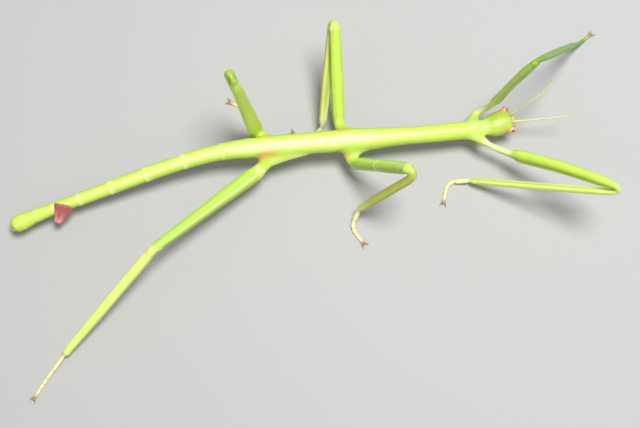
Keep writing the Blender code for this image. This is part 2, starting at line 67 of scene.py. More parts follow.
legPlan = {
    "coxaPlace": {"fore": 38.0, "mid": 0.0, "hind": -22.8},
    "coxaBeside": 1.6,
    "coxaBelow": 1.0,
    "coxaLength": {"fore": 4.5, "mid": 5.2, "hind": 5.7},
    "coxaRadii": {"fore": (1.9, 1.25), "mid": (2.3, 1.7), "hind": (2.3, 1.8)},
    "femurLength": {"fore": 43.0, "mid": 31.4, "hind": 38.7},
    "tibiaLength": {"fore": 47.0, "mid": 32.2, "hind": 42.5},
    "tarsusLength": {"fore": 12.5, "mid": 12.5, "hind": 15.5},
    "poses": {
        "fore_left": dict(coxa=(75, -20), femur=(4.5, 74), tibia=41, ankle=7.9, tarsus=(37, 0)),
        "fore_right": dict(coxa=(-50, 26), femur=(-33, 29), tibia=163, ankle=2.5, tarsus=(174, 80)),
        "mid_left": dict(coxa=(115, -33), femur=(87, 40), tibia=-105, ankle=5.5, tarsus=(222, -75)),
        "mid_right": dict(coxa=(-76, -22), femur=(-31, 56), tibia=-163, ankle=5.0, tarsus=(-124, 66)),
        "hind_left": dict(coxa=(134, -28), femur=(117, 82.5), tibia=300, ankle=4.1, tarsus=(100, 50)),
        "hind_right": dict(coxa=(-124, -18), femur=(-145.5, 8), tibia=-138, ankle=2.2,
                           tarsus=(-133, 6)),
    },
    "bowDepth": {"fore_left": 2.4, "fore_right": 3.4},
    "sway": {"fore_right": 0.6},
    "bowPlace": 0.2,
    "femurSink": 0.9,  # it starts inside the coxa by this share of the coxa's end radius
    "kneeRoom": 1.0,  # it ends this far before the knee, in its end radii
    "femurCap": 0.25,  # and its cap runs on this far past the knee
    "kneeRise": (0.9, 1.35),  # where the tibia's curve starts and tops, in the femur's end radii
    "kneeStart": 0.1,  # how far aside it starts, as a share of the way
    "kneeLead": 0.09,  # the share of the tibia by which it has straightened
    "ankleOverrun": 0.5,  # the tibia's end past the ankle
    "ankleLead": 0.2,  # the foot's start ahead of the ankle, and inside the tibia
    "tarsusSink": 0.6,
    "underneath": 0.8,  # how much a folded tibia hangs below its femur
    "gap": 0.3,  # between a folded tibia and its femur
    # share of the length, half-width across the leg's plane, half-depth in it
    "femurSections": {
        "fore": [(0, 0.95, 0.95), (0.21, 0.9, 0.85), (0.26, 1.5, 2.0), (0.6, 1.4, 1.75),
                 (0.92, 1.3, 1.4), (1, 1.15, 1.2)],
        "mid": [(0, 1.6, 1.6), (0.1, 1.85, 1.7), (0.5, 1.9, 1.65), (0.9, 1.65, 1.5),
                (1, 1.35, 1.35)],
        "hind": [(0, 2.0, 1.8), (0.08, 2.45, 2.0), (0.5, 1.95, 1.6), (0.92, 1.5, 1.3),
                 (1, 1.35, 1.2)],
    },
    "tibiaSections": {
        "fore": [(0, 0.95, 0.8), (0.1, 0.9, 0.8), (0.4, 1.05, 0.9), (0.9, 0.95, 0.85),
                 (1, 0.8, 0.75)],
        "mid": [(0, 1.15, 1.0), (0.1, 1.25, 1.2), (0.6, 1.4, 1.3), (0.95, 1.1, 1.1),
                (1, 0.95, 0.9)],
        "hind": [(0, 1.2, 1.15), (0.1, 1.5, 1.4), (0.6, 1.45, 1.35), (0.95, 1.15, 1.1),
                 (1, 1.0, 0.95)],
    },
    "tarsusRadii": {"fore": (0.75, 0.55), "mid": (0.8, 0.55), "hind": (0.65, 0.5)},
    "tarsomeres": [0.40, 0.18, 0.12, 0.09, 0.21],
    "webBend": 0.58,  # the share of the way from a web's start to the coxa at its bend
    # webs: the place along the body where one starts, how far its bend lies beside, its radii
    "webs": {"fore_left": (34.5, 1.4, 1.9, 1.2), "fore_right": (34.5, 1.6, 1.9, 1.3),
             "mid_left": (9.0, 1.6, 2.0, 1.6), "mid_right": (12.5, 1.5, 1.9, 1.75),
             "hind_left": (-17.0, 1.4, 2.0, 1.7), "hind_right": (-7.0, 2.3, 2.0, 1.9)},
    "soleHeight": 0.34,
    "flatFrom": 0.78,
    "tarsusFall": 0.9,  # how steeply it sinks
    "turnFrom": 0.35,  # it turns between this share of its length and twice that
}


def direction(heading, climb):
    # a unit vector, or one for each of many
    h, c = np.radians(np.broadcast_arrays(heading, climb))
    return np.stack([np.cos(c) * np.cos(h), np.cos(c) * np.sin(h), np.sin(c)], -1)


def unit(v):
    return v / np.maximum(np.linalg.norm(v, axis=-1, keepdims=True), 1e-9)


def readTable(at, places, columns):
    # every column read between its points
    return np.stack([np.interp(at, places, column) for column in np.transpose(columns)], -1)


def leftOf(way):
    return np.cross(zenith, way)


def bodyAxis(step=0.2):
    # the running sum of short steps, each turned by the heading and climb at its place
    lengths, turns = np.array(bodyPlan["parts"]).T
    ends = bodyPlan["tailEnd"] + np.cumsum(lengths)
    places = np.arange(bodyPlan["tailEnd"], ends[-1] + step / 2, step)
    climb = np.interp(places, bodyPlan["slopeTurn"], [bodyPlan["tailDroop"], -bodyPlan["thoraxDip"]])
    forward = direction(np.interp(places, ends - lengths / 2, turns), climb)
    points = np.cumsum(forward, 0) * step
    points += np.array(bodyPlan["midCoxae"]) - points[np.argmin(abs(places))]
    return places, np.concatenate([points, forward], 1), ends


axisPlaces, axisTable, partEnds = bodyAxis()


def along(place):
    # axis point, forward, left and up at one place or many
    table = readTable(place, axisPlaces, axisTable)
    forward = unit(table[..., 3:])
    beyond = (place - np.clip(place, axisPlaces[0], axisPlaces[-1]))[..., None]
    left = unit(leftOf(forward))
    return table[..., :3] + beyond * forward, forward, left, np.cross(forward, left)


def bodyPoint(place, leftward=0.0, upward=0.0):
    point, _, left, up = along(place)
    return point + leftward * left + upward * up


def sided(spec, sign):
    # the point on the left side, or its mirror on the right
    place, beside, height = spec
    return bodyPoint(place, sign * beside, height)


def smoothed(table, place, reach=1.4, samples=9):
    # each column averaged over a short stretch, so that it has no corners
    at, *columns = np.array(table, float).T
    return [np.mean([np.interp(place + shift, at, column)
                     for shift in np.linspace(-reach, reach, samples)], 0) for column in columns]


def bump(x, centre, width):
    return np.exp(-((x - centre) / width) ** 2)


def turnBump(angle, centre, width):
    # a bump on the circle, with its centre and width in degrees
    return bump((np.degrees(angle) - centre + 180) % 360, 180, width)


def turnBumps(angle, centres, width):
    return sum(turnBump(angle, centre, width) for centre in centres)


def ease(x, start, end):
    t = np.clip((x - start) / (end - start), 0, 1)
    return t * t * (3 - 2 * t)


def circle(columns):
    return (np.arange(columns) * 2 * math.pi / columns)[None]


def carriedRing(points, side, across, deep, angle, shape=1):
    # path point + side * across * cos(angle) * shape + up * deep * sin(angle) * shape,
    # where up is square to the path and to side
    tangent = unit(np.gradient(points, axis=0))
    side = unit(np.broadcast_to(side, points.shape))
    side = unit(side - (side * tangent).sum(-1, keepdims=True) * tangent)
    up = np.cross(tangent, side)
    wide = np.cos(angle) * shape * np.reshape(across, (-1, 1))
    high = np.sin(angle) * shape * np.reshape(deep, (-1, 1))
    return points[:, None] + side[:, None] * wide[..., None] + up[:, None] * high[..., None]


def stepped(start, length, ways):
    # a route by the running sum of equal steps, each in its own direction
    return start + np.concatenate([[np.zeros(3)], np.cumsum(ways, 0)]) * length / len(ways)


def curved(handles, count):
    # neighbouring handles are mixed by the share of the way until one curve is left
    share = np.linspace(0, 1, count)[:, None]
    while len(handles) > 1:
        handles = [a + share * (b - a) for a, b in zip(handles, handles[1:])]
    return handles[0]


def gridFaces(grid, start=0):
    # quads between neighbouring rings and a fan to the pole at each end, numbered from start
    here = start + np.arange(grid[..., 0].size).reshape(grid.shape[:2])
    beside = np.roll(here, -1, 1)
    quads = np.stack([here[:-1], beside[:-1], beside[1:], here[1:]], -1).reshape(-1, 4)
    pole = np.full(len(here[0]), start + here.size)
    fans = np.concatenate([np.stack([pole, beside[0], here[0]], 1),
                           np.stack([pole + 1, here[-1], beside[-1]], 1)])
    return [*quads.tolist(), *fans.tolist()]


def withPoles(grid):
    # the grid's rows, then the middle of its first ring and of its last
    ends = [grid[0].mean(0)[None], grid[-1].mean(0)[None]]
    return np.concatenate([grid.reshape(-1, grid.shape[-1]), *ends])


def newPiece(name, points, faces):
    # points in millimetres
    mesh = bpy.data.meshes.new(name)
    mesh.from_pydata(points * millimetre, [], faces)
    mesh.validate()
    mesh.shade_smooth()
    piece = bpy.data.objects.new(name, mesh)
    bpy.context.scene.collection.objects.link(piece)
    return piece


def gridPiece(name, *grids):
    # several closed grids in one mesh
    points, faces = [], []
    for grid in grids:
        faces += gridFaces(grid, sum(map(len, points)))
        points.append(withPoles(grid))
    return newPiece(name, np.concatenate(points), faces)


tints = {  # linear colours
    "lime": (0.55, 0.76, 0.08),
    # a pale lime: a painted highlight on the back, the crown and the webs, and the own pale ring at a
    # femur's base
    "limePaleAndSheen": (0.85, 0.96, 0.44),
    # painted shade on the trunk's flanks, a coxa's base and the tail plate's underside
    "limeShade": (0.26, 0.46, 0.03),
    "belly": (0.54, 0.64, 0.18),
    "rim": (0.78, 0.92, 0.30),
    "membrane": (0.80, 0.34, 0.14),
    "neckTeal": (0.58, 0.94, 0.22),
    "headGreen": (0.42, 0.62, 0.06),
    "headYellow": (0.66, 0.66, 0.10),
    "headOlive": (0.46, 0.40, 0.07),
    "headOrange": (0.74, 0.34, 0.08),
    "mouth": (0.62, 0.42, 0.10),
    "leg": (0.42, 0.64, 0.08),
    # a painted highlight on the top of the femora and tibiae
    "legHighlight": (0.62, 0.82, 0.16),
    # painted shade in the legs' channels, on their sides and underneath
    "legShade": (0.17, 0.34, 0.02),
    # a painted highlight on the knees
    "kneeHighlight": (0.52, 0.74, 0.18),
    "shadeLeg": (0.15, 0.33, 0.02),
    "stalk": (0.66, 0.73, 0.30),
    "tibiaOlive": (0.47, 0.48, 0.06),
    "tibiaStraw": (0.64, 0.68, 0.17),
    "tibiaPale": (0.72, 0.86, 0.22),
    "scar": (0.80, 0.86, 0.50),
    "tarsus": (0.84, 0.80, 0.36),
    "tarsusTip": (0.46, 0.34, 0.12),
    "rose": (0.40, 0.11, 0.10),
    "rosePale": (0.74, 0.34, 0.27),
    "tailBrown": (0.26, 0.16, 0.05),
}

grainStep = 60.0  # distance in the grain between one part of the skin and the next
skinParts = []


def addSkinPart(grid, base, layers, distance, angle, radius):
    # the base tint is covered by the layers in turn, each a tint and an amount. The grain is a
    # point on a straight tube of the same girth, so a pattern can follow the limb
    colour = np.broadcast_to(np.array(tints[base]), grid.shape)
    for name, amount in layers:
        amount = np.clip(amount, 0, 1)[..., None]
        colour = colour * (1 - amount) + np.array(tints[name]) * amount
    grain = np.stack(np.broadcast_arrays(np.cos(angle) * radius, np.sin(angle) * radius,
                                         distance + grainStep * len(skinParts)), -1)
    skinParts.append(dict(points=withPoles(grid), faces=gridFaces(grid),
                          paint=withPoles(np.concatenate([colour, grain], -1))))


trunkSettings = {
    "columns": 56,
    "front": 41.6,  # the last ring, inside the head
    "coarse": 0.62,  # spacing of rings, and near a joint
    "fine": 0.14,
    "nearJoint": 0.9,
    "tailRounding": 0.9,
    "rimSwell": 0.055,  # the raised rear edge of each ring of the abdomen
    "ringStrengths": (0.2, 0.35, 0.6, 1, 1, 1, 1, 0.5, 0.3),  # from the tail forwards
    "neckNarrow": 0.045,  # and the narrow front of the next
    "sutures": (0.02, 0.035, 0.05),  # depths of the joints behind each part of the thorax
    "collar": (40.0, 0.4, 0.03),  # place, width and depth
    "carina": 0.03,  # the ridge down the middle of the back
    "flankGroove": 0.035,
    "bellyEdge": 0.02,
    "heights": (0.95, 0.90),  # of the back and the belly, over the width
    # swellings round the coxae on both sides: place, reach and amount
    "coxaSwells": ((0.8, 3.0, 0.16), (-20.5, 3.6, 0.14), (37.6, 2.0, 0.10)),
    # and further ones on the right, where two legs pull forwards
    "rightSwells": ((5.5, 4.2, 0.17), (-16.5, 4.2, 0.20)),
    # how strong the painted highlight down the back is at places along the body
    "backHighlight": ((-102, 0.1), (-90, 0.3), (-36, 0.6), (-26, 0.9), (0, 0.85), (12, 0.5), (38, 0.15)),
    # painted shade along the flanks and lower sides: angle, spread and amount
    "flankShade": ((16, 18, 0.6), (172, 16, 0.2), (-30, 26, 0.5), (210, 26, 0.4)),
    # orange patches of soft skin behind the coxae: place, angle and spread
    "patches": ((-22.8, 160, 30), (-24.6, 168, 22), (-22.4, 10, 20), (-1.8, 12, 18)),
}


def clusteredPlaces(start, end, joints, coarse, fine, near):
    # steps grow from fine at a joint to coarse away from it
    places = [start]
    while places[-1] < end:
        gap = min(abs(places[-1] - joint) for joint in joints)
        places.append(places[-1] + np.interp(gap, [near * 0.4, near * 2], [fine, coarse]))
    places[-1] = end
    return np.array(places)


def makeTrunk():
    # half-width from the table, times a rim and a neck at each joint, a ridge on the back,
    # a fold on each flank, and swellings where the coxae leave
    s = trunkSettings
    joints = partEnds[:-1]
    place = clusteredPlaces(bodyPlan["tailEnd"], s["front"], joints, s["coarse"], s["fine"],
                            s["nearJoint"])
    tail = s["tailRounding"]
    place = np.sort(np.append(place, place[0] + tail * np.linspace(0.05, 0.7, 9) ** 2))
    factor = np.ones_like(place)
    rim = np.zeros_like(place)
    for joint, strength in zip(joints, s["ringStrengths"]):
        over = ease(place - joint, -0.45, 0.2)
        factor += strength * s["rimSwell"] * over * bump(place, joint, 1.3)
        factor -= strength * s["neckNarrow"] * (1 - over) * bump(place, joint, 1.8)
        rim += strength * over * bump(place, joint, 1.3)
    for joint, depth in zip(joints[len(s["ringStrengths"]):], s["sutures"]):
        factor -= depth * bump(place, joint, 0.35)
    factor -= s["collar"][2] * bump(place, *s["collar"][:2])
    factor *= np.sqrt(np.clip((place - place[0]) / tail, 0.002, 1))
    width = smoothed(bodyPlan["widths"], place)[0] * factor

    # angles run from the left side over the back: 90 is up and 270 down
    turn, at = circle(s["columns"]), place[:, None]
    sine = np.sin(turn)
    shape = 1 + s["carina"] * (0.35 + 0.65 * ease(at, -26, -18)) * turnBump(turn, 90, 9)
    shape = shape - s["flankGroove"] * turnBumps(turn, (-12, 192), 9) * (1 - ease(at, -26, -20))
    shape = shape + s["bellyEdge"] * turnBumps(turn, (-52, 232), 8)
    for centre, reach, amount in s["coxaSwells"]:
        shape = shape + amount * bump(at, centre, reach) * turnBumps(turn, (-22, 202), 34)
    for centre, reach, amount in s["rightSwells"]:
        shape = shape + amount * bump(at, centre, reach) * turnBump(turn, 196, 30)
    points, _, left, up = along(place)
    grid = carriedRing(points, left, width, width, turn, shape)
    flat = (np.where(sine > 0, *s["heights"]) - 1) * width[:, None] * sine * shape
    grid = grid + up[:, None] * flat[..., None]

    # a painted highlight down the back, painted shade on the flanks and lower sides, and the belly's
    # own duller green below
    pale = np.interp(at, *zip(*s["backHighlight"]))
    layers = [("limePaleAndSheen", pale * turnBump(turn, 100, 30)), ("belly", ease(-sine, 0.35, 0.95))]
    layers += [("limeShade", amount * turnBump(turn, side, spread))
               for side, spread, amount in s["flankShade"]]
    layers += [("rim", 0.85 * rim[:, None]),
               ("neckTeal", 0.8 * ease(at, 35.8, 37.0) * (0.6 + 0.4 * sine))]
    layers += [("membrane", 0.9 * bump(at, centre, 2.0) * turnBump(turn, side, spread))
               for centre, side, spread in s["patches"]]
    layers += [("tailBrown", 0.85 * (1 - ease(at, -103.4, -102.9))),
               ("membrane", 0.45 * turnBump(turn, -40, 30) * (1 - ease(at, -103, -95)))]
    addSkinPart(grid, "lime", layers, at, turn, width[:, None] * shape)


headSettings = {
    "columns": 72,
    "rings": 78,
    "height": 0.84,
    "frontRounding": 0.55,
    "crownSeam": 0.02,
    "sideSeams": 0.012,
    "cheekHollow": 0.05,
    "eye": (48.2, 3.0, 0.5),  # place along the axis, to its left, and up
    "eyeSize": (1.45, 1.15, 1.25),
    "browRise": 0.28,
    "browRing": (1.25, 0.45),  # its distance from the eye's centre, and its width
    "pupil": (0.9, 0.55),  # left and up from the eye's centre
    "eyeReach": 2.0,  # distance from the pupil over which the ring of colours runs
    "eyeColours": ((0.12, (0.16, 0.06, 0.04, 1)), (0.22, (0.34, 0.13, 0.09, 1)),
                   (0.40, (0.74, 0.58, 0.38, 1)), (0.62, (0.60, 0.28, 0.16, 1)),
                   (0.95, (0.50, 0.20, 0.09, 1))),
    "facets": 9000,  # to a metre
}


def makeHead():
    # half-width from the table, with a flatter underside, a raised brow round each eye,
    # a seam down the crown and hollow cheeks behind the mouth
    s = headSettings
    t = np.linspace(0, 1, s["rings"])
    first, last = bodyPlan["headWidths"][0][0], bodyPlan["headWidths"][-1][0] + 0.1
    place = first + (last - first) * np.sin(t * math.pi / 2) ** 0.9
    width = smoothed(bodyPlan["headWidths"], place, 0.4)[0]
    width = width * np.sqrt(np.clip((last - place) / s["frontRounding"], 0.02, 1))
    turn, at = circle(s["columns"]), place[:, None]
    crown = ease(at, 41.6, 42.6) * (1 - ease(at, 45.8, 47.2))
    shape = 1 - s["crownSeam"] * turnBump(turn, 90, 5) * crown
    temple = ease(at, 42, 43) * (1 - ease(at, 45, 46))
    shape = shape - s["sideSeams"] * turnBumps(turn, (40, 140), 5) * temple
    shape = shape - s["cheekHollow"] * bump(at, 44.6, 1.6) * turnBumps(turn, (-50, 230), 20)
    points, _, left, up = along(place)
    grid = carriedRing(points, left, width, width * s["height"], turn, shape)
    for sign in (1, -1):
        reach = np.linalg.norm(grid - sided(s["eye"], sign), axis=-1)
        outward = unit(grid - points[:, None])
        grid = grid + outward * (s["browRise"] * bump(reach, *s["browRing"]))[..., None]

    # a painted highlight over the crown
    layers = [("limePaleAndSheen", 0.3 * turnBump(turn, 98, 20) * ease(at, 41.5, 43)),
              ("neckTeal", 0.6 * (1 - ease(at, 41.2, 42.6)))]
    for side in (1, -1):
        flank = turnBump(turn, 90 - 74 * side, 18)
        layers += [("headYellow", 0.6 * turnBump(turn, 90 - 50 * side, 20)),
                   ("headOlive", 0.6 * flank * ease(at, 42, 44)),
                   ("headOrange", 0.7 * flank * ease(at, 45.0, 46.6))]
    layers += [("headOrange", 0.3 * ease(at, 47.8, 49.0)),
               ("headYellow", 0.6 * ease(-np.sin(turn), 0.1, 0.8))]
    addSkinPart(grid, "headGreen", layers, at, turn, width[:, None])


mouthSettings = {
    "labrum": (49.5, 0.0, -1.0, 1.05, 1.3, 1.0),  # place, left, up, then half sizes
    "mandible": (49.0, 0.85, -1.8, 1.1, 0.8, 1.0),
    "chin": (47.2, 0.0, -2.0, 1.8, 1.4, 0.85),
    # place, left, up, length, outward turn, climb and radius
    "palps": [(48.5, 1.45, -2.05, 3.1, 12, -36, 0.30), (47.6, 1.0, -2.4, 2.1, 8, -48, 0.27)],
}


def roundedGrid(centre, forward, left, up, size, rows=22, columns=28, squareness=0.85):
    # centre + left * sin(latitude) + (forward * cos + up * sin)(turn) * cos(latitude), each
    # raised to a power below one, which squares the shape
    latitude = np.linspace(-math.pi / 2, math.pi / 2, rows + 2)[1:-1][:, None]
    turn = circle(columns)

    def power(x):
        return np.sign(x) * np.abs(x) ** squareness

    ring = power(np.cos(latitude))
    out = centre + left * (size[1] * power(np.sin(latitude)) + 0 * turn)[..., None]
    out = out + forward * (size[0] * ring * power(np.cos(turn)))[..., None]
    return out + up * (size[2] * ring * power(np.sin(turn)))[..., None]


def addLump(spec, sign, axes, base, edge=None):
    place, beside, height, *size = spec
    centre = sided((place, beside, height), sign)
    grid = roundedGrid(centre, *axes, size)
    layers = []
    if edge:
        lower = ease(((centre - grid) @ axes[2]) / size[2], 0.2, 0.95)
        layers = [(edge, 0.8 * lower)]
    distance = np.linspace(0, 2 * size[1], len(grid))[:, None]
    addSkinPart(grid, base, layers, distance, circle(grid.shape[1]), size[2])


def makePalp(spec, sign, facing, left):
    # three joints that swell and bend up towards the tip
    place, beside, height, length, out, climb, radius = spec
    share = np.linspace(0, 1, 34)
    u = share[:-1]
    ways = direction(facing + sign * (out - 20 * u), climb - 12 + 30 * u)
    route = stepped(sided((place, beside, height), sign), length, ways)
    swell = radius * (0.8 + 0.25 * np.abs(np.sin(math.pi * share * 3)))
    swell = swell * np.sqrt(np.clip((1 - share) * length / radius, 0.03, 1))
    addLimb(route, left, roundSections(1, 1), 14, "headYellow", swell, [])


def makeMouth():
    s = mouthSettings
    _, *axes = along(headSettings["eye"][0])
    facing = math.degrees(math.atan2(axes[0][1], axes[0][0]))
    addLump(s["labrum"], 1, axes, "headYellow", "mouth")
    addLump(s["chin"], 1, axes, "mouth")
    for sign in (1, -1):
        addLump(s["mandible"], sign, axes, "mouth", "tarsusTip")
        for spec in s["palps"]:
            makePalp(spec, sign, facing, axes[1])


legSettings = {
    "ringSpacing": 0.5,
    "femurColumns": 40,
    "tibiaColumns": 32,
    "tarsusColumns": 20,
    # lime on these femora is a lighter copy of the leg green, painted light for how brightly each is
    # lit
    "femurTints": {"fore_right": "lime", "mid_left": "lime", "hind_left": "lime", "other": "leg"},
    # shadeLeg on the left fore tibia is painted shade; the other tibiae have their own straw, olive
    # and pale greens, also lighter or darker with how each leg is lit
    "tibiaTints": {"fore_left": "shadeLeg", "mid_left": "tibiaStraw", "mid_right": "tibiaOlive",
                   "hind_left": "leg", "other": "tibiaPale"},
    "femurEnds": (0.9, 0.4),  # how deep the rounded ends are, in the radius there
    "tibiaEnds": (0.95, 0.8),
    # painted shade at these knees, where the others take a painted highlight, and how much of it
    # covers a tibia's head
    "kneeLightAndShade": {"fore_left": "shadeLeg", "hind_left": "legShade"},
    "kneeLightAmount": {"hind_left": 0.6},
    "legWithoutShade": "hind_left",  # no painted shade is laid on its femur and tibia
    # amounts of painted shade in a femur's channels, of painted highlight on its ridge and of painted
    # highlight on a tibia, where they differ from 0.75, 0.6 and 0.5
    "grooveShade": {"mid_right": 0.5},
    "ridgeHighlight": {"hind_right": 0.1},
    "tibiaHighlight": {"fore_left": 0.15, "hind_left": 0.15},
    "squareness": 2.6,  # of the femur's section, where 2 is an ellipse
    "cornerAngles": (45, 135, 225, 315),
    "keel": 0.07,
    "groove": 0.06,
    "teeth": 0.10,
    "toothCount": 14,
    "femurTeeth": {"fore": 0.0, "mid": 1.0, "hind": 1.0},
    "tibiaTeeth": 0.35,
    "kneeTaper": {"fore_left": 0.22, "fore_right": 0.3, "hind_left": 0.52, "hind_right": 0.05},
    "slimmer": {"fore_left": 0.26, "mid_right": 0.12},
    "stalkEnd": {"left": 0.33, "right": 0.27},  # the pale base of a fore femur
    "lobes": {"fore": 0.0, "mid": 0.3, "hind": 0.26},  # on both sides of the knee
    "scarLeg": "mid_right",
    "shadedFoot": "fore_left",
    "tarsusSpacing": 0.15,
    "tarsusHeight": 0.9,  # over its width
}


def evenly(route, spacing=None, steps=None):
    # the route read again at even steps, through its own points
    length = np.append(0, np.cumsum(np.linalg.norm(np.diff(route, axis=0), axis=1)))
    steps = steps or max(8, round(length[-1] / spacing))
    at = np.linspace(0, length[-1], steps + 1)
    return readTable(at, length, route), at, length[-1]


def dome(distance, length, start, end):
    # closes a tube at each end: the height of a circle over the distance from the end
    factor = np.ones_like(distance)
    for radius, away in ((start, distance), (end, length - distance)):
        if radius:
            factor = factor * np.sqrt(1 - np.clip(1 - away / radius, 0, 0.985) ** 2)
    return factor


def addLimb(route, side, sections, columns, base, factor, layers, lowest=None, shape=None):
    # an oval tube along the route. The amount of a layer and the shape are functions of the
    # share of the length and of the angle
    route, distance, length = evenly(route, np.linalg.norm(np.diff(route, axis=0), axis=1).mean())
    share = distance / length
    across, deep = smoothed(sections, share, 0.025, 7)
    factor = np.interp(share, np.linspace(0, 1, len(factor)), factor)
    turn, at = circle(columns), share[:, None]
    grid = carriedRing(route, side, across * factor, deep * factor, turn,
                       shape(at, turn) if shape else 1)
    if lowest is not None:
        grid[..., 2] = np.maximum(grid[..., 2], lowest)
    addSkinPart(grid, base, [(name, amount(at, turn)) for name, amount in layers],
                distance[:, None], turn, (across * factor)[:, None])


def refined(route, spacing):
    # a smooth curve through the route: cubic pieces whose slopes come from the neighbours
    slope = np.gradient(route, axis=0)
    t = np.linspace(0, 1, 9)[:-1][:, None, None]
    a, b, m, n = route[:-1], route[1:], slope[:-1], slope[1:]
    curve = ((2 * t ** 3 - 3 * t ** 2 + 1) * a + (t ** 3 - 2 * t ** 2 + t) * m
             + (3 * t ** 2 - 2 * t ** 3) * b + (t ** 3 - t ** 2) * n)
    curve = np.concatenate([curve.transpose(1, 0, 2).reshape(-1, 3), route[-1:]])
    return evenly(curve, spacing)[0]


def tarsusRoute(pair, ankle, tibiaWay, heading, turn):
    # it sinks from the ankle, flattens on the floor and turns on the way, at even steps
    p = legPlan
    length, height = p["tarsusLength"][pair], p["soleHeight"]
    share = np.linspace(0, 1, 61)
    fall = ankle[2] - height
    power = min(2.0, p["tarsusFall"] * p["flatFrom"] * length / fall)
    z = height + fall * np.clip(1 - share / p["flatFrom"], 0, 1) ** power
    run = np.sqrt(np.maximum((length / 60) ** 2 - np.diff(z) ** 2, 0))
    middle = (share[1:] + share[:-1]) / 2
    ways = direction(heading + turn * np.clip(middle / p["turnFrom"] - 1, 0, 1), 0)
    route = (ankle + p["ankleLead"] * direction(heading, 0)) * (1 - zenith) + z[:, None] * zenith
    route[1:] += np.cumsum(run[:, None] * ways, 0)
    return np.concatenate([[ankle - p["tarsusSink"] * tibiaWay], route])


def legRoutes(leg):
    # where a leg's parts run: base, hip, femur, tibia, tarsus and the normal of its plane
    pair, side = leg.split("_")
    p, pose = legPlan, legPlan["poses"][leg]
    femurEnds, tibiaEnds = p["femurSections"][pair], p["tibiaSections"][pair]
    base = sided((p["coxaPlace"][pair], p["coxaBeside"], 0), signs[side]) - p["coxaBelow"] * zenith
    hip = base + p["coxaLength"][pair] * direction(*pose["coxa"])
    femurWay = direction(*pose["femur"])
    knee = hip + p["femurLength"][pair] * femurWay
    tibiaLength = p["tibiaLength"][pair]
    drop = math.degrees(math.asin((knee[2] - pose["ankle"]) / tibiaLength))
    tibiaWay = direction(pose["tibia"], -drop)
    ankle = knee + tibiaLength * tibiaWay
    lean = tibiaWay - p["underneath"] * zenith
    toSide = unit(lean - (lean @ femurWay) * femurWay)
    folded = max(0.0, -(tibiaWay @ femurWay)) ** 2
    beside = folded * (femurEnds[-2][2] + tibiaEnds[1][2] + p["gap"])

    # the femur starts inside the coxa, bows near its base and ends in a cap past the knee
    share = np.linspace(0, 1, 41)
    left = unit(leftOf(femurWay))
    bow = -p["bowDepth"].get(leg, 0.0) * np.cross(femurWay, left)
    bend = (share / p["bowPlace"]) * np.exp(1 - share / p["bowPlace"])
    femurEnd = femurEnds[-1][2]
    femurTip = knee - p["kneeRoom"] * femurEnd * femurWay
    femur = hip + share[:, None] * (femurTip - hip) + bend[:, None] * bow
    lead = -p["femurSink"] * p["coxaRadii"][pair][1] * unit(femur[1] - femur[0])
    cap = (p["kneeRoom"] + p["femurCap"]) * femurEnd * femurWay
    femur = femur + p["sway"].get(leg, 0.0) * np.sin(math.pi * share)[:, None] * left
    femur = np.concatenate([femur[:1] + lead, femur, femur[-1:] + cap])

    # the tibia turns over the knee in a curve with three handles, then runs straight
    handles = [femurTip + p["kneeRise"][0] * femurEnd * femurWay + p["kneeStart"] * beside * toSide,
               femurTip + p["kneeRise"][1] * femurEnd * femurWay + beside * toSide,
               knee + beside * toSide + p["kneeLead"] * (ankle - knee)]
    tibia = np.concatenate([[femurTip], curved(handles, 12), curved([handles[2], ankle], 30)[1:],
                            [ankle + p["ankleOverrun"] * tibiaWay]])
    tarsus = tarsusRoute(pair, ankle, tibiaWay, *pose["tarsus"])
    return base, hip, femur, tibia, tarsus, unit(np.cross(femurWay, toSide))


def keeledShape(share, angle, toothed=0.0, lobed=0.0):
    # a squared circle with a ridge on each corner and a shallow channel between the corners
    s = legSettings
    power = s["squareness"]
    square = (np.abs(np.cos(angle)) ** power + np.abs(np.sin(angle)) ** power) ** (-1 / power)
    corners = turnBumps(angle, s["cornerAngles"], 7)
    flats = turnBumps(angle, (0, 90, 180, 270), 17)
    inner = turnBumps(angle, s["cornerAngles"][2:], 6)
    tooth = (0.5 + 0.5 * np.cos(2 * math.pi * s["toothCount"] * share)) ** 8
    body = ease(share, 0.06, 0.16) * (1 - ease(share, 0.9, 0.97))
    out = 1 + (square - 1) * (0.3 + 0.7 * body)
    out = out + body * (s["keel"] * corners - s["groove"] * flats)
    out = out + lobed * turnBumps(angle, (0, 180), 38) * bump(share, 0.965, 0.022)
    return out + toothed * s["teeth"] * tooth * inner * ease(share, 0.45, 0.6) * body


def roundSections(first, last, flatness=1.0):
    # for a limb from one radius to another
    return [(0, first * flatness, first), (1, last, last)]


def makeWeb(leg, base, hip):
    # a web of skin that sweeps from the thorax into the coxa
    pair, side = leg.split("_")
    place, beside, thick, thin = legPlan["webs"][leg]
    start = sided((place, 0.5, -0.2), signs[side])
    bendPlace = place + legPlan["webBend"] * (legPlan["coxaPlace"][pair] - place)
    handle = sided((bendPlace, beside, -0.3), signs[side])
    bend = base + 0.25 * (hip - base) + 0.1 * (handle - base)
    route = curved([start, handle, bend, base + 0.96 * (hip - base)], 36)
    length = evenly(route, 0.3)[2]
    # a paler band along one side, and a painted highlight on its top
    layers = [("rim", lambda u, a: 0.6 * turnBump(a, 270, 40) * ease(u, 0.1, 0.3)
               * (1 - ease(u, 0.7, 0.95))),
              ("limePaleAndSheen", lambda u, a: 0.25 * turnBump(a, 0, 60))]
    addLimb(route, zenith, roundSections(thick, thin, 0.8), legSettings["tibiaColumns"], "lime",
            dome(np.linspace(0, length, len(route)), length, thick, thin), layers)


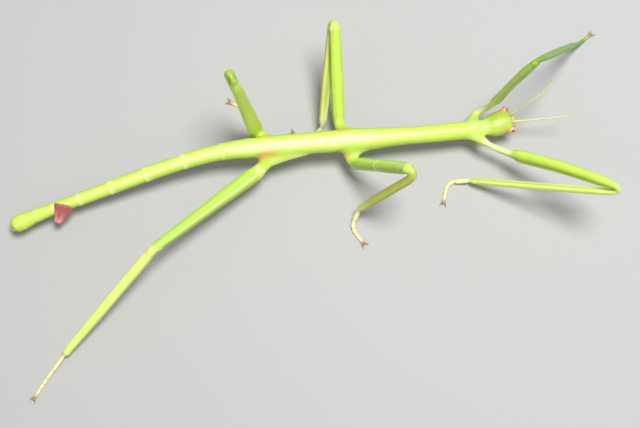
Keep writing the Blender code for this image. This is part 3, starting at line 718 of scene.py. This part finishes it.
def makeCoxa(leg, base, hip):
    # a short cone into the hip, ringed by a fold
    pair, side = leg.split("_")
    radii = legPlan["coxaRadii"][pair]
    t = np.linspace(0, 1, 26)
    route = base + t[:, None] * 1.14 * (hip - base)
    length = np.linalg.norm(route[-1] - route[0])
    swell = 1 - 0.05 * bump(t, 0.86, 0.03) + 0.03 * bump(t, 0.78, 0.05)
    swell = swell * dome(t * length, length, 0, radii[1])
    rear = 90 - 50 * signs[side]
    # painted shade at its base, where it leaves the body, and a pale fold ring
    layers = [("limeShade", lambda u, a: 0.25 * (1 - ease(u, 0.5, 0.8))),
              ("rim", lambda u, a: 0.45 * bump(u, 0.8, 0.08))]
    if pair == "fore":
        layers += [("stalk", lambda u, a: 0.8 * ease(u, 0.55, 0.85))]
    else:
        layers += [("membrane", lambda u, a: 0.9 * bump(u, 0.3, 0.24) * turnBump(a, rear, 44))]
    addLimb(route, leftOf(hip - base), roundSections(*radii),
            legSettings["femurColumns"], "lime", swell, layers)


def keeledLimb(leg, part, route, normal, knee, form, layers, toothed, lobed=0.0):
    # the femur or tibia: form adds to its girth, and knee is one where the knee tapers it
    s = legSettings
    sections = legPlan[part + "Sections"][leg.split("_")[0]]
    route = refined(route, s["ringSpacing"])
    u = np.linspace(0, 1, len(route))
    length = evenly(route, s["ringSpacing"])[2]
    ends = [radius * share for radius, share in zip((sections[0][1], sections[-1][1]),
                                                    s[part + "Ends"])]
    factor = form(u) * (1 - s["kneeTaper"].get(leg, 0.06) * knee(u)) * dome(u * length, length, *ends)
    addLimb(route, normal, sections, s[part + "Columns"],
            s[part + "Tints"].get(leg, s[part + "Tints"]["other"]), factor, layers,
            shape=lambda u, a: keeledShape(u, a, toothed, lobed))


def makeFemur(leg, route, normal):
    # with a trochanter ring at its base and two rounded lobes at the knee
    pair, side = leg.split("_")
    s = legSettings
    dark = s["grooveShade"].get(leg, 0.75)
    pale = s["ridgeHighlight"].get(leg, 0.6)
    stalk = s["stalkEnd"][side]
    # a painted highlight on the top and the upper ridge, and painted shade in the side channels and
    # underneath
    layers = [("legHighlight", lambda u, a: pale * (turnBump(a, 90, 22) + turnBump(a, 30, 12)))]
    if leg != s["legWithoutShade"]:
        layers += [("legShade", lambda u, a: dark * (turnBumps(a, (0, 180), 13)
                                                    + turnBump(a, 270, 24))
                    + 0.4 * turnBumps(a, (58, 122), 5) * ease(u, 0.1, 0.2))]
    # at the knee a painted highlight, or painted shade on the legs set for it
    layers += [(s["kneeLightAndShade"].get(leg, "kneeHighlight"), lambda u, a: 0.5 * ease(u, 0.92, 0.99))]
    if leg == s["scarLeg"]:
        layers += [("scar", lambda u, a: 0.7 * bump(u, 0.5, 0.012))]
    if pair == "fore":
        layers += [("stalk", lambda u, a: 1 - ease(u, stalk - 0.08, stalk))]
    else:
        layers += [("limePaleAndSheen", lambda u, a: 0.6 * (1 - ease(u, 0.02, 0.12)))]
    keeledLimb(leg, "femur", route, normal, lambda u: ease(u, 0.84, 0.99),
               lambda u: (1 - 0.05 * bump(u, 0.052, 0.008) + 0.035 * bump(u, 0.965, 0.02))
               * (1 - s["slimmer"].get(leg, 0.0) * bump(u, 0.5, 0.32)),
               layers, s["femurTeeth"][pair], s["lobes"][pair])


def makeTibia(leg, route, normal):
    # from a rounded head over the knee to a flared ankle
    pair = leg.split("_")[0]
    s = legSettings
    pale = s["tibiaHighlight"].get(leg, 0.5)
    tone = s["kneeLightAmount"].get(leg, 0.3)
    # a painted highlight on the top and one side, painted shade on the other side and underneath, and
    # at the head the knee's painted highlight or shade
    layers = [("legHighlight", lambda u, a: pale * (turnBump(a, 90, 30) + turnBump(a, 180, 20)))]
    if leg != s["legWithoutShade"]:
        layers += [("legShade", lambda u, a: 0.5 * (turnBump(a, 0, 16) + turnBump(a, 270, 20)))]
    layers += [(s["kneeLightAndShade"].get(leg, "kneeHighlight"), lambda u, a: tone * (1 - ease(u, 0.03, 0.08)))]
    if pair == "mid":
        layers += [("tarsus", lambda u, a: 0.7 * ease(u, 0.72, 1.0))]
    if pair != "fore":
        layers += [("tailBrown", lambda u, a: 0.4 * bump(u, 0.075, 0.006))]
    keeledLimb(leg, "tibia", route, normal, lambda u: 1 - ease(u, 0.03, 0.12),
               lambda u: 1 + 0.05 * bump(u, 0.97, 0.02), layers, s["tibiaTeeth"])


def makeTarsus(leg, route):
    # five joints, each swelling to its far end and padded below
    pair = leg.split("_")[0]
    s = legSettings
    shares = np.array(legPlan["tarsomeres"])
    ends = np.cumsum(shares)
    route, distance, length = evenly(route, s["tarsusSpacing"])
    u = distance / length
    which = np.minimum(np.searchsorted(ends, u, side="right"), len(shares) - 1)
    within = (u - (ends - shares)[which]) / shares[which]
    factor = np.interp(u, [0, 1], legPlan["tarsusRadii"][pair])
    factor = factor * (0.74 + 0.26 * ease(within, 0.0, 0.85) - 0.10 * ease(within, 0.93, 1.0))
    factor = factor * dome(distance, length, 0.5, 0.5)
    layers = [("tarsusTip", lambda u, a: 0.8 * ease(u, 0.86, 0.98)
               + 0.35 * sum(bump(u, end, 0.012) for end in ends[:-1]))]
    if leg == s["shadedFoot"]:
        layers += [("shadeLeg", lambda u, a: 0.95 - 0.3 * ease(u, 0.7, 1.0))]
    side = leftOf(unit(np.gradient(route, axis=0)))
    height = s["tarsusHeight"]
    addLimb(route, side, [(0, 1, height), (1, 1, height)], s["tarsusColumns"], "tarsus", factor,
            layers, lowest=0.0)


def makeLeg(leg):
    # the five parts in turn. The foot's route is handed on for the claws
    base, hip, femur, tibia, tarsus, normal = legRoutes(leg)
    makeWeb(leg, base, hip)
    makeCoxa(leg, base, hip)
    makeFemur(leg, femur, normal)
    makeTibia(leg, tibia, normal)
    makeTarsus(leg, tarsus)
    return tarsus


tailSettings = {
    "plateReach": (-104.6, -90.8),
    "plateBelow": 1.9,
    "plateSize": (1.75, 0.85),
    "plateCurve": (0.16, 0.94, 0.6),  # the part of a sine wave that its width follows, and a power
    "cercus": (-101.6, 1.2, 0.5),  # place, left and up
    "cercusSize": (2.0, 0.5, 0.3),  # length and the radii at both ends
    "cercusTurn": (8, -6),  # outwards and up
    "lobeReach": (-89.0, -82.8),
    "lobeLean": 4.4,  # its tip lies this far behind its root
    "lobeRoot": (-0.7, 2.0),
    "lobeWay": (-0.75, -0.66),  # left and up
    "lobeLength": 4.7,
    "lobeThickness": 0.9,
}


def makeTail():
    s = tailSettings
    t = np.linspace(0, 1, 50)
    points, _, left, up = along(s["plateReach"][0] + t * np.diff(s["plateReach"])[0])
    first, last, power = s["plateCurve"]
    factor = np.sin(math.pi * (first + (last - first) * t)) ** power
    factor = factor * np.sqrt(np.clip(np.minimum(t, 1 - t) / 0.03, 0.03, 1))
    # painted shade on its underside, and a rosy side towards its rear
    layers = [("limeShade", lambda u, a: 0.5 * turnBump(a, 270, 30)),
              ("rosePale", lambda u, a: 0.5 * (1 - ease(u, 0.0, 0.5)) * turnBump(a, 180, 60))]
    addLimb(points - s["plateBelow"] * up, left, [(0, *s["plateSize"]), (1, *s["plateSize"])],
            30, "belly", factor, layers)
    length, thick, thin = s["cercusSize"]
    out, climb = s["cercusTurn"]
    forward = along(s["cercus"][0])[1]
    back = math.degrees(math.atan2(-forward[1], -forward[0]))
    t = np.linspace(0, 1, 20)
    factor = np.interp(t, [0, 1], [thick, thin]) * dome(t * length, length, 0, thin)
    for sign in (1, -1):
        route = sided(s["cercus"], sign) + direction(back - sign * out, climb) * (
            t * length)[:, None]
        addLimb(route, left[0], roundSections(1, 1), 16, "rim", factor,
                [("tailBrown", lambda u, a: 0.8 * ease(u, 0.5, 0.95))])


def makeLobe():
    # a three-cornered flap whose width shrinks to a rounded knob
    s = tailSettings
    t = np.linspace(0, 1, 40)
    middle = sum(s["lobeReach"]) / 2
    half = (s["lobeReach"][1] - s["lobeReach"][0]) / 2
    _, forward, left, up = along(middle)
    way = unit(s["lobeWay"][0] * left + s["lobeWay"][1] * up)
    route = bodyPoint(middle, *s["lobeRoot"]) + way * (t * s["lobeLength"])[:, None]
    route = route - forward * (s["lobeLean"] * t)[:, None]
    wide = half * (1 - 0.62 * ease(t, -0.1, 0.95))
    thick = s["lobeThickness"] / 2 * (1 + 1.1 * ease(t, 0.5, 0.9))
    factor = dome(t * s["lobeLength"], s["lobeLength"], 0.25, 0.75)
    layers = [("rosePale", lambda u, a: 0.8 * ease(u, 0.55, 0.95)
               + 0.35 * (0.5 + 0.5 * np.cos(5 * a)) * ease(u, 0.2, 0.5))]
    addLimb(route, forward, list(zip(t, wide, thick)), 48, "rose", factor, layers,
            shape=lambda u, a: 1 + 0.10 * np.cos(10 * a) * ease(u, 0.15, 0.5))


seamPlan = {
    "reach": 0.55,  # how far from a seam the skin is softened
    "coxaReach": 3.4,  # and how far beside a coxa
    "around": 7.0,
    "pull": 0.6,  # the share of the way to the neighbours' mean, each round
    "rounds": 60,
    "blendRounds": 8,  # for the tint
    "growRounds": 14,
    "farAway": 99.0,
    "paintRounds": 10,
}


def joinSkin():
    # one closed skin, the union of every part
    solids = [newPiece("skinPart", part["points"], part["faces"]) for part in skinParts]
    skin = solids[0]
    others = bpy.data.collections.new("others")
    for solid in solids[1:]:
        bpy.context.scene.collection.objects.unlink(solid)
        others.objects.link(solid)
    bpy.context.scene.collection.children.link(others)
    join = skin.modifiers.new("join", "BOOLEAN")
    join.operation = "UNION"
    join.solver = "EXACT"
    join.operand_type = "COLLECTION"
    join.collection = others
    graph = bpy.context.evaluated_depsgraph_get()
    mesh = bpy.data.meshes.new_from_object(skin.evaluated_get(graph), depsgraph=graph)
    skin.modifiers.clear()
    skin.data = mesh
    skin.name = mesh.name = "skin"
    for solid in solids[1:]:
        bpy.data.objects.remove(solid)
    bpy.data.collections.remove(others)
    return skin


def sourceIndex(points):
    # each skin point's number among the parts' points, or -1: equal rows share a key
    source = np.concatenate([part["points"] for part in skinParts]) * millimetre
    rows = np.concatenate([source.astype(np.float32), points])
    key = np.unique(rows, axis=0, return_inverse=True)[1].ravel()
    number = np.full(len(rows), -1)
    number[key[len(source) - 1::-1]] = np.arange(len(source))[::-1]
    return number[key[len(source):]]


def neighbourMean(values, a, b):
    # the mean over a point's neighbours along the edges a-b
    count = len(values)
    degree = np.maximum(np.bincount(a, minlength=count) + np.bincount(b, minlength=count), 1)
    total = np.stack([np.bincount(a, values[b, k], count) + np.bincount(b, values[a, k], count)
                      for k in range(values.shape[1])], 1)
    return total / degree[:, None]


def paintSeams(paint, seam, a, b):
    # a point on a seam takes the mean of the neighbours that have a tint and a grain
    known = np.where(seam, 0.0, 1.0)[:, None]
    paint = paint * known
    for _ in range(seamPlan["paintRounds"]):
        mean = neighbourMean(np.concatenate([paint * known, known], 1), a, b)
        fresh = mean[:, :-1] / np.maximum(mean[:, -1:], 1e-6)
        paint[seam] = fresh[seam]
        known[seam] = np.minimum(1, mean[seam, -1:] * 1e6)
    return paint


def seamPull(points, seam, a, b):
    # how strongly the mean of its neighbours draws a point: it falls with the distance from
    # a seam, grown along the edges, and reaches further beside the coxae
    s = seamPlan
    length = np.linalg.norm(points[a] - points[b], axis=1)
    distance = np.where(seam, 0.0, s["farAway"])
    for _ in range(s["growRounds"]):
        np.minimum.at(distance, a, distance[b] + length)
        np.minimum.at(distance, b, distance[a] + length)
    reach = np.full(len(points), s["reach"])
    for leg in legPlan["poses"]:
        base, hip = legRoutes(leg)[:2]
        near = bump(np.linalg.norm(points - 0.5 * (base + hip), axis=1), 0, s["around"])
        reach = np.maximum(reach, s["coxaReach"] * near)
    return s["pull"] * bump(distance / reach, 0, 1)[:, None]


def addLayer(mesh, name, kind, field, values):
    layer = mesh.attributes.new(name, kind, "POINT")
    layer.data.foreach_set(field, values.astype(np.float32).ravel())


def finishSkin(mesh):
    # a point that no part had is on a seam. The skin is softened there and takes its paint
    count = len(mesh.vertices)
    raw = np.empty(count * 3, np.float32)
    mesh.vertices.foreach_get("co", raw)
    edges = np.empty(len(mesh.edges) * 2, np.int32)
    mesh.edges.foreach_get("vertices", edges)
    a, b = edges.reshape(-1, 2).T
    number = sourceIndex(raw.reshape(-1, 3))
    seam = number < 0
    paint = np.concatenate([part["paint"] for part in skinParts])[number]
    paint = paintSeams(paint, seam, a, b)
    points = raw.reshape(-1, 3).astype(float) / millimetre
    pull = seamPull(points, seam, a, b)
    for _ in range(seamPlan["rounds"]):
        points += pull * (neighbourMean(points, a, b) - points)
    for _ in range(seamPlan["blendRounds"]):
        paint[:, :3] += pull * (neighbourMean(paint[:, :3], a, b) - paint[:, :3])
    points[:, 2] = np.maximum(points[:, 2], 0.0)
    mesh.vertices.foreach_set("co", (points * millimetre).astype(np.float32).ravel())
    mesh.update()
    addLayer(mesh, "tint", "FLOAT_COLOR", "color", np.insert(paint[:, :3], 3, 1, 1))
    addLayer(mesh, "grain", "FLOAT_VECTOR", "vector", paint[:, 3:])
    print("finished skin,", int(seam.sum()), "seam points")


def makeEye(side, sign):
    s = headSettings
    axes = along(s["eye"][0])[1:]
    grid = roundedGrid(sided(s["eye"], sign), *axes, s["eyeSize"], 40, 56, 1.0)
    return gridPiece("eye_" + side, grid)


antennaSettings = {
    "scape": (49.5, 1.2, 0.9),  # place, left and up
    "scapeSink": 0.9,  # it starts this far inside the head
    "scapeLength": 1.7,
    "scapeRadius": 0.47,
    "pedicelLength": 0.9,
    "pedicelRadius": 0.36,
    "baseGap": 0.3,  # from the first joint's end to the thread's start
    "length": 14.5,
    "radii": (0.3, 0.25),
    "poses": {"left": (18, 40, 20), "right": (-4, 16, 3)},  # heading, climb, turn
    "sag": 8.0,
    "bends": 11,
    "joints": 24,
    "columns": 16,
    "rings": 419,
}


def makeAntenna(side, sign):
    # a thick first joint and a small second one, then joints that lengthen towards the tip
    s = antennaSettings
    heading, climb, turn = s["poses"][side]
    way = direction(heading, climb)
    start = sided(s["scape"], sign) - s["scapeSink"] * way
    base = s["scapeLength"] + s["scapeSink"]
    share = np.arange(s["bends"]) / s["bends"]
    ways = direction(heading + turn * share, climb - s["sag"] * share)
    bare = base + s["baseGap"]
    thread = stepped(start + bare * way, s["length"], ways)
    route = np.concatenate([start[None], (start + 0.5 * base * way)[None], thread])
    route, at, length = evenly(route, steps=s["rings"])
    beyond = np.clip((at - bare) / s["length"], 0, 1)
    cycle = (beyond ** 0.85 * s["joints"]) % 1
    thin = np.interp(beyond, [0, 1], s["radii"]) * (0.86 + 0.16 * np.sin(math.pi * cycle) ** 0.7)
    scape = s["scapeRadius"] * (0.82 + 0.18 * np.sin(math.pi * np.clip(at / base, 0, 1)) ** 0.8)
    pedicel = s["pedicelRadius"] + 0.05 * bump(at, base + 0.45, 0.3)
    radius = np.where(at < base, scape, np.where(at < base + s["pedicelLength"], pedicel, thin))
    radius = radius * dome(at, length, 0.4, 0.25)
    return gridPiece("antenna_" + side, carriedRing(route, leftOf(direction(heading, 0)), radius,
                                                    radius, circle(s["columns"])))


clawSettings = {
    "reach": 1.3,
    "spread": 0.95,
    "start": 0.12,  # of one hook, to the side
    "radius": 0.27,
    "columns": 16,
    "padPlace": (0.42, 0.3),  # ahead and up
    "padSize": (0.42, 0.36, 0.3),
}


def makeClaws(leg, tarsus):
    # two hooks that curve out, forwards and down from the foot's end, with a round pad between
    s = clawSettings
    flat = 1 - zenith
    tip = tarsus[-1] * flat
    forward = unit((tarsus[-1] - tarsus[-3]) * flat)
    left = leftOf(forward)
    t = np.linspace(0, 1, 36)
    out = s["start"] + (s["spread"] - s["start"]) * t ** 0.7
    ahead = -0.05 + (0.25 + s["reach"]) * t ** 1.5
    height = 0.42 + 0.16 * np.sin(math.pi * t ** 0.8) - 0.36 * t ** 2
    radius = s["radius"] * (1.0 - 0.82 * t ** 1.2) * dome(t * 2.0, 2.0, 0.2, 0.12)
    middle = tip + forward * ahead[:, None] + zenith * height[:, None]
    grids = [carriedRing(middle + left * sign * out[:, None], zenith, radius, radius,
                         circle(s["columns"])) for sign in (1, -1)]
    centre = tip + forward * s["padPlace"][0] + zenith * s["padPlace"][1]
    grids.append(roundedGrid(centre, forward, left, zenith, s["padSize"], 16, 20, 1.0))
    for grid in grids:
        grid[..., 2] = np.maximum(grid[..., 2], 0.0)
    return gridPiece("claws_" + leg, *grids)


def fill(tree, node, inputs):
    # sets each input, or links it to another node's output
    for name, value in inputs.items():
        if isinstance(value, bpy.types.NodeSocket):
            tree.links.new(value, node.inputs[name])
        else:
            node.inputs[name].default_value = value
    return node.outputs


def addNode(tree, kind, inputs, operation=None):
    node = tree.nodes.new("ShaderNode" + kind)
    if operation:
        node.operation = operation
    return fill(tree, node, inputs)


def readAttribute(tree, name, output):
    node = tree.nodes.new("ShaderNodeAttribute")
    node.attribute_name = name
    return node.outputs[output]


def newMaterial(name):
    material = bpy.data.materials.new(name)
    material.use_nodes = True
    return material, material.node_tree, material.node_tree.nodes["Principled BSDF"]


cuticleSettings = {
    # scale, detail and stretch along the limb
    "fibres": (3.2, 3, 0.12),
    "patches": (0.55, 3, 0.5),
    "pebbles": (9.0, 4, 1),
    "poreScale": 1.1,
    "poreReach": (0.05, 0.14),
    "poreDark": 0.62,
    "bumpHeight": 0.00012,
}


def cuticleGroup():
    # fine relief and uneven colour shared by every hard surface
    s = cuticleSettings
    group = bpy.data.node_groups.new("cuticle", "ShaderNodeTree")
    for way, sockets in (
            ("INPUT", (("Colour", "Color"), ("Grain", "Vector"), ("Mottle", "Float"),
                       ("Relief", "Float"), ("Gloss", "Float"))),
            ("OUTPUT", (("Colour", "Color"), ("Roughness", "Float"), ("Normal", "Vector")))):
        for name, kind in sockets:
            group.interface.new_socket(name, in_out=way, socket_type="NodeSocket" + kind)
    entry = group.nodes.new("NodeGroupInput").outputs

    def noise(name):
        scale, detail, stretch = s[name]
        grain = addNode(group, "Mapping", {"Vector": entry["Grain"], "Scale": (1, 1, stretch)})
        return addNode(group, "TexNoise", {"Vector": grain["Vector"], "Scale": scale,
                                           "Detail": detail})["Fac"]

    def maths(operation, a, b):
        return addNode(group, "Math", {0: a, 1: b}, operation)[0]

    def shaded(colour, amount):
        return addNode(group, "VectorMath", {0: colour, "Scale": amount}, "SCALE")[0]

    fibres, patches, pebbles = noise("fibres"), noise("patches"), noise("pebbles")
    # brightness runs from 1 - mottle to 1 + mottle
    spread = maths("ADD", maths("MULTIPLY", maths("SUBTRACT", fibres, 0.5), 1.3),
                   maths("MULTIPLY", maths("SUBTRACT", patches, 0.5), 1.6))
    bright = maths("ADD", 1.0, maths("MULTIPLY", spread, entry["Mottle"]))
    # sparse small dark pores
    cells = addNode(group, "TexVoronoi", {"Vector": entry["Grain"], "Scale": s["poreScale"]})
    pore = addNode(group, "MapRange", {"Value": cells["Distance"], "From Min": s["poreReach"][0],
                                       "From Max": s["poreReach"][1], "To Min": s["poreDark"],
                                       "To Max": 1.0})[0]
    height = maths("ADD", maths("MULTIPLY", fibres, 0.6),
                   maths("ADD", maths("MULTIPLY", pebbles, 0.35), maths("MULTIPLY", pore, 0.5)))
    relief = addNode(group, "Bump", {"Strength": entry["Relief"], "Height": height,
                                     "Distance": s["bumpHeight"]})
    fill(group, group.nodes.new("NodeGroupOutput"),
         {"Colour": shaded(shaded(entry["Colour"], bright), pore),
          "Roughness": maths("ADD", entry["Gloss"], maths("MULTIPLY", pebbles, 0.16)),
          "Normal": relief["Normal"]})
    return group


def cuticleMaterial(name, group, mottle, relief, gloss, coat, colour=None):
    # a painted skin reads its own tint and grain; a plain piece has one colour
    material, tree, shader = newMaterial(name)
    if colour is None:
        colour = readAttribute(tree, "tint", "Color")
        grain = readAttribute(tree, "grain", "Vector")
    else:
        where = addNode(tree, "TexCoord", {})["Object"]
        grain = addNode(tree, "Mapping", {"Vector": where, "Scale": [1 / millimetre] * 3})["Vector"]
        colour = (*colour, 1)
    node = tree.nodes.new("ShaderNodeGroup")
    node.node_tree = group
    cuticle = fill(tree, node, {"Mottle": mottle, "Relief": relief, "Gloss": gloss,
                                "Colour": colour, "Grain": grain})
    fill(tree, shader, {"Base Color": cuticle["Colour"], "Roughness": cuticle["Roughness"],
                        "Normal": cuticle["Normal"], "Specular IOR Level": 0.3,
                        "Coat Weight": coat, "Coat Roughness": 0.3})
    return material


def eyeMaterial(sign):
    # rings of colour round a dark pupil, and tiny facets
    s = headSettings
    material, tree, shader = newMaterial("eye")
    place, beside, height = s["eye"]
    pupil = sided((place, beside + s["pupil"][0], height + s["pupil"][1]), sign) * millimetre
    where = addNode(tree, "TexCoord", {})["Object"]
    away = addNode(tree, "VectorMath", {0: where, 1: pupil}, "DISTANCE")["Value"]
    share = addNode(tree, "Math", {0: away, 1: 1 / (s["eyeReach"] * millimetre)}, "MULTIPLY")[0]
    ring = tree.nodes.new("ShaderNodeValToRGB")
    stops = ring.color_ramp.elements
    first, *others, last = s["eyeColours"]
    for number, (position, colour) in enumerate((first, last)):
        stops[number].position = position
        stops[number].color = colour
    for position, colour in others:
        stops.new(position).color = colour
    facets = addNode(tree, "TexVoronoi", {"Vector": where, "Scale": s["facets"]})["Distance"]
    relief = tree.nodes.new("ShaderNodeBump")
    relief.invert = True
    fill(tree, relief, {"Strength": 0.25, "Distance": 0.00004, "Height": facets})
    fill(tree, shader, {"Base Color": fill(tree, ring, {"Fac": share})["Color"],
                        "Normal": relief.outputs["Normal"], "Roughness": 0.28,
                        "Coat Weight": 0.8, "Coat Roughness": 0.06})
    return material


makeTrunk()
makeHead()
makeMouth()
tarsi = {leg: makeLeg(leg) for leg in legPlan["poses"]}
makeTail()
makeLobe()
print("skin parts", len(skinParts), "points", sum(len(part["points"]) for part in skinParts))

skin = joinSkin()
print("joined skin", len(skin.data.vertices), "points")
finishSkin(skin.data)
skin.data.shade_smooth()

cuticle = cuticleGroup()
skin.data.materials.clear()
skin.data.materials.append(cuticleMaterial("skinCuticle", cuticle, 0.15, 0.45, 0.28, 0.16))
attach(skin, "root")
legNodes = [f"{kind}_{leg}" for kind in ("coxa", "femur", "tibia", "tarsus")
            for leg in legPlan["poses"]]
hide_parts("head", "mouthparts", "palp_left", "palp_right", "prothorax", "mesothorax",
            "metathorax", *[f"abdomen_{k}" for k in range(1, 11)], "subgenital_plate",
            "cercus_left", "cercus_right", "ventral_lobe", *legNodes)

feeler = cuticleMaterial("feelerCuticle", cuticle, 0.3, 0.3, 0.35, 0.1, (0.66, 0.62, 0.30))
for side, sign in signs.items():
    eye = makeEye(side, sign)
    eye.data.materials.append(eyeMaterial(sign))
    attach(eye, "root")
    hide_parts("eye_" + side)
    antenna = makeAntenna(side, sign)
    antenna.data.materials.append(feeler)
    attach(antenna, "root")
    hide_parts("antenna_base_" + side, "antenna_" + side)
print("eyes and antennae")

hooks = cuticleMaterial("clawHorn", cuticle, 0.25, 0.2, 0.2, 0.4, (0.36, 0.24, 0.10))
for leg, tarsus in tarsi.items():
    claws = makeClaws(leg, tarsus)
    claws.data.materials.append(hooks)
    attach(claws, "root")
    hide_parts("claws_" + leg)
print("claws")


studio = {
    "floorSize": 4.0,
    "floorColour": (0.45, 0.45, 0.44),
    "world": 0.32,
    # place, size and power
    "lights": {"key": ((0.15, 0.07, 0.65), 0.22, 5.1), "fill": ((-0.5, -0.35, 0.5), 0.8, 1.0)},
    "cameraPlace": (0.0098, -0.0604, 0.3145),
    "cameraTurn": (10.6, 2.26, -4.44),
    "lens": 60,
}


def makeFloor():
    half = studio["floorSize"] / 2 / millimetre
    corners = half * np.array([[-1, -1, 0], [1, -1, 0], [1, 1, 0], [-1, 1, 0]])
    floor = newPiece("floor", corners, [[0, 1, 2, 3]])
    material, tree, shader = newMaterial("paleFloor")
    fill(tree, shader, {"Base Color": (*studio["floorColour"], 1), "Roughness": 0.75})
    floor.data.materials.append(material)


def makeLight(name, place, size, power):
    # a disk that faces the middle of the floor
    lamp = bpy.data.lights.new(name, "AREA")
    lamp.shape = "DISK"
    lamp.size = size
    lamp.energy = power
    light = bpy.data.objects.new(name, lamp)
    light.location = place
    bpy.context.scene.collection.objects.link(light)
    way = -np.array(place)
    light.rotation_euler = (0, math.acos(-way[2] / np.linalg.norm(way)),
                            math.atan2(-way[1], -way[0]))


def makeCamera():
    data = bpy.data.cameras.new("camera")
    data.lens = studio["lens"]
    data.sensor_width = 36
    data.clip_start = 0.01
    camera = bpy.data.objects.new("camera", data)
    camera.location = studio["cameraPlace"]
    camera.rotation_euler = [math.radians(angle) for angle in studio["cameraTurn"]]
    bpy.context.scene.collection.objects.link(camera)
    bpy.context.scene.camera = camera


makeFloor()
for name, light in studio["lights"].items():
    makeLight(name, *light)
makeCamera()
world = bpy.data.worlds.new("studio")
world.use_nodes = True
fill(world.node_tree, world.node_tree.nodes["Background"],
     {"Color": (1, 1, 1, 1), "Strength": studio["world"]})
bpy.context.scene.world = world
bpy.context.scene.view_settings.view_transform = "Standard"
